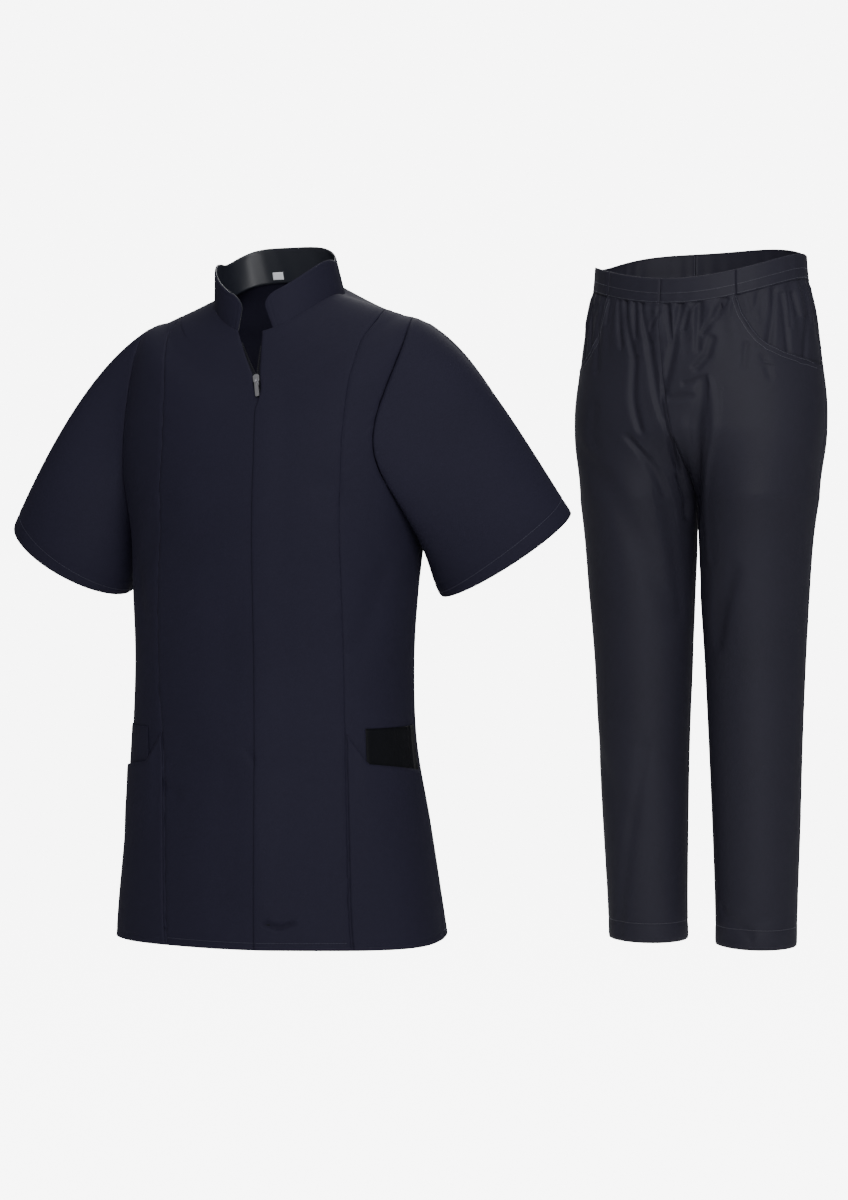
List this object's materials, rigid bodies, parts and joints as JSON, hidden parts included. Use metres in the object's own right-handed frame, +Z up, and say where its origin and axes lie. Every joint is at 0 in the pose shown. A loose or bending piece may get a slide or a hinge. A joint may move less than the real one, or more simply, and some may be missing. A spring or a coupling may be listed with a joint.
{
  "type": "medical scrubs",
  "caption": "Short-sleeved work tunic with a stand collar and a hidden front zip, and pull-on trousers with a gathered elastic waistband, as hollow worn garments.",
  "frame": {"origin": "centre of the tunic's neck seam, inside the collar", "axes": "+Z up through the collar, +X to the viewer's right in the picture, -Y towards the viewer"},
  "size_m": [1.077, 0.7578, 1.0041],
  "materials": {
    "navy": "plain-woven navy polyester and cotton, matt",
    "satin": "smooth satin side of the navy cloth, soft gloss",
    "label": "white woven label, blank",
    "tape": "dark woven zip tape",
    "metal": "plated zinc, satin bright",
    "charcoal": "fine twill, dark blue-grey, slight sheen"
  },
  "bodies": {
    "garments": {"front_right": "navy", "front_left": "navy", "side_front_right": "navy", "side_front_left": "navy", "back": "navy", "sleeve_right": "navy", "sleeve_left": "navy", "collar_outer": "navy", "pocket_right": "navy", "pocket_left": "navy", "collar_inner": "satin", "pocket_facing_right": "satin", "pocket_facing_left": "satin", "neck_label": "label", "zip_tape_right": "tape", "zip_tape_left": "tape", "zip_slider": "metal", "front_leg_right": "charcoal", "front_leg_left": "charcoal", "back_leg_right": "charcoal", "back_leg_left": "charcoal", "hip_piece_right": "charcoal", "hip_piece_left": "charcoal", "waistband_front_right": "charcoal", "waistband_front_left": "charcoal", "waistband_back_right": "charcoal", "waistband_back_left": "charcoal"},
    "pull": {"zip_pull": "metal"}
  },
  "joints": [
    {"name": "zip_pull", "type": "hinge", "parent": "garments", "child": "pull", "pos_m": [-0.01919, -0.09907, -0.10889], "axis": [-0.9584, 0.1974, -0.2061], "range_deg": [0, 165]}
  ]
}
